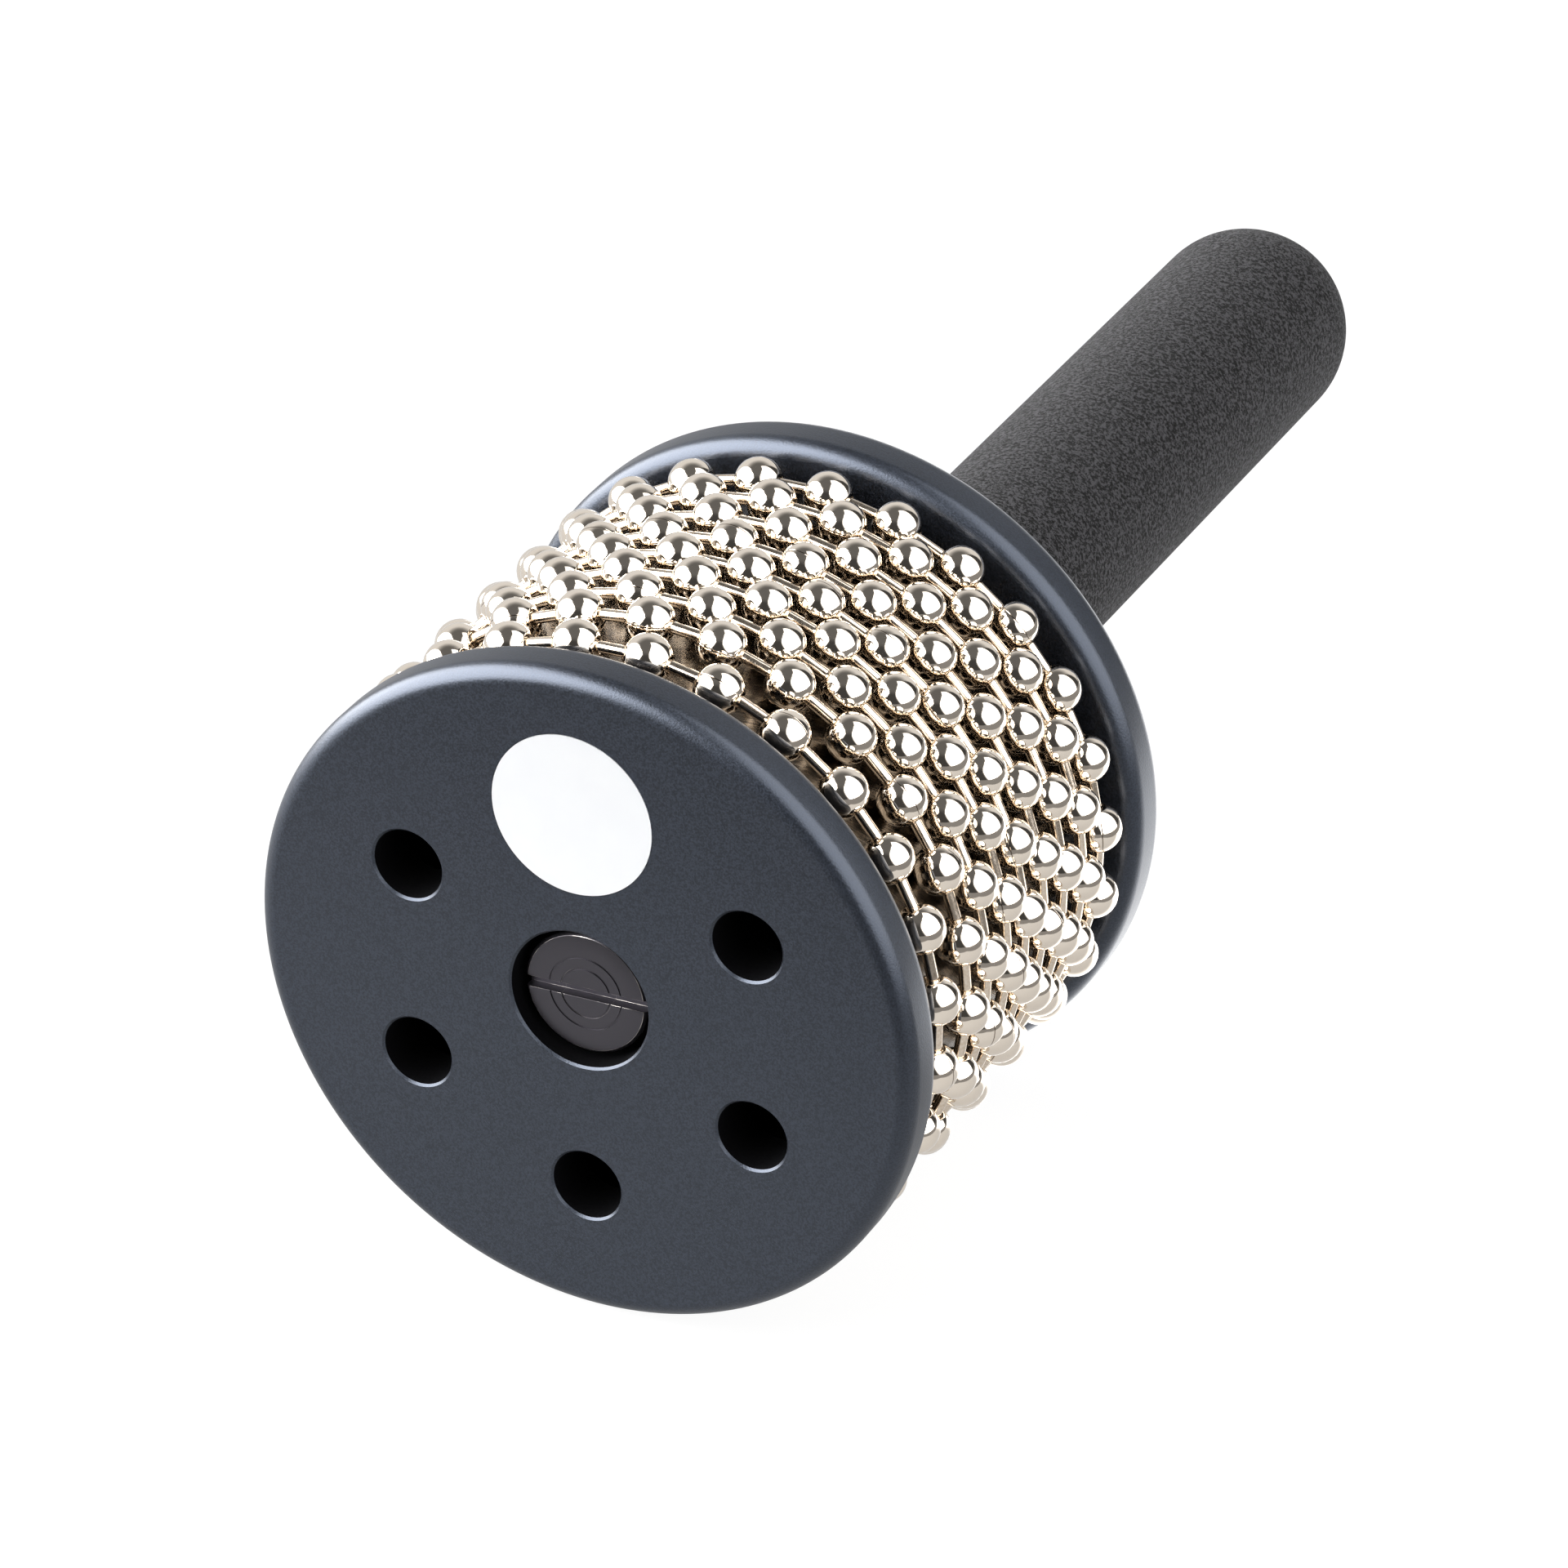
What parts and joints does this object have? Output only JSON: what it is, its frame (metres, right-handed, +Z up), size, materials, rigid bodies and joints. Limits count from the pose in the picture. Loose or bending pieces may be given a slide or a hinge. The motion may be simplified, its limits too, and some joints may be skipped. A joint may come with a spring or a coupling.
{
  "type": "cabasa",
  "caption": "Hand percussion cabasa: loops of nickel ball chain turn loosely on a textured steel drum between two black discs, on a foam handle.",
  "frame": {"origin": "bottom centre of the box round the instrument as it lies on the rims of its two discs", "axes": "+Y along the drum's axis towards the end of the handle, -Y out of the front disc's face, +Z up"},
  "size_m": [0.0956, 0.2308, 0.0956],
  "materials": {
    "disc_plastic": "satin black moulded",
    "drum_plastic": "black moulded",
    "label": "blank white vinyl film",
    "bolt_steel": "blackened steel",
    "sleeve_steel": "embossed sheet",
    "handle_wood": "turned beech, hidden in the foam",
    "insert_brass": "turned brass",
    "grip_foam": "fine-celled foam",
    "ball_nickel": "bright nickel plate",
    "link_nickel": "bright nickel plate"
  },
  "bodies": {
    "frame": {"front_disc": "disc_plastic", "blank_label": "label", "clamp_bolt": "bolt_steel", "drum_core": "drum_plastic", "steel_sleeve": "sleeve_steel", "back_disc": "disc_plastic", "wooden_handle": "handle_wood", "threaded_insert": "insert_brass", "foam_grip": "grip_foam"},
    "loop_1": {"bead_row_1": "ball_nickel", "link_row_1": "link_nickel"},
    "loop_2": {"bead_row_2": "ball_nickel", "link_row_2": "link_nickel"},
    "loop_3": {"bead_row_3": "ball_nickel", "link_row_3": "link_nickel"},
    "loop_4": {"bead_row_4": "ball_nickel", "link_row_4": "link_nickel"},
    "loop_5": {"bead_row_5": "ball_nickel", "link_row_5": "link_nickel"},
    "loop_6": {"bead_row_6": "ball_nickel", "link_row_6": "link_nickel"},
    "loop_7": {"bead_row_7": "ball_nickel", "link_row_7": "link_nickel"},
    "loop_8": {"bead_row_8": "ball_nickel", "link_row_8": "link_nickel"},
    "loop_9": {"bead_row_9": "ball_nickel", "link_row_9": "link_nickel"}
  },
  "joints": [
    {"name": "loop_1_turn", "type": "hinge", "parent": "frame", "child": "loop_1", "pos_m": [0, -0.10123, 0.0478], "axis": [0, 1, 0], "continuous": true},
    {"name": "loop_2_turn", "type": "hinge", "parent": "frame", "child": "loop_2", "pos_m": [0, -0.09266, 0.0478], "axis": [0, 1, 0], "continuous": true},
    {"name": "loop_3_turn", "type": "hinge", "parent": "frame", "child": "loop_3", "pos_m": [0, -0.08654, 0.0478], "axis": [0, 1, 0], "continuous": true},
    {"name": "loop_4_turn", "type": "hinge", "parent": "frame", "child": "loop_4", "pos_m": [0, -0.08042, 0.0478], "axis": [0, 1, 0], "continuous": true},
    {"name": "loop_5_turn", "type": "hinge", "parent": "frame", "child": "loop_5", "pos_m": [0, -0.07491, 0.0478], "axis": [0, 1, 0], "continuous": true},
    {"name": "loop_6_turn", "type": "hinge", "parent": "frame", "child": "loop_6", "pos_m": [0, -0.0691, 0.0478], "axis": [0, 1, 0], "continuous": true},
    {"name": "loop_7_turn", "type": "hinge", "parent": "frame", "child": "loop_7", "pos_m": [0, -0.06298, 0.0478], "axis": [0, 1, 0], "continuous": true},
    {"name": "loop_8_turn", "type": "hinge", "parent": "frame", "child": "loop_8", "pos_m": [0, -0.05686, 0.0478], "axis": [0, 1, 0], "continuous": true},
    {"name": "loop_9_turn", "type": "hinge", "parent": "frame", "child": "loop_9", "pos_m": [0, -0.05135, 0.0478], "axis": [0, 1, 0], "continuous": true}
  ],
  "couplings": [
    {"joint": "loop_2_turn", "follows": "loop_1_turn", "ratio": 1},
    {"joint": "loop_3_turn", "follows": "loop_1_turn", "ratio": 1},
    {"joint": "loop_4_turn", "follows": "loop_1_turn", "ratio": 1},
    {"joint": "loop_5_turn", "follows": "loop_1_turn", "ratio": 1},
    {"joint": "loop_6_turn", "follows": "loop_1_turn", "ratio": 1},
    {"joint": "loop_7_turn", "follows": "loop_1_turn", "ratio": 1},
    {"joint": "loop_8_turn", "follows": "loop_1_turn", "ratio": 1},
    {"joint": "loop_9_turn", "follows": "loop_1_turn", "ratio": 1}
  ]
}
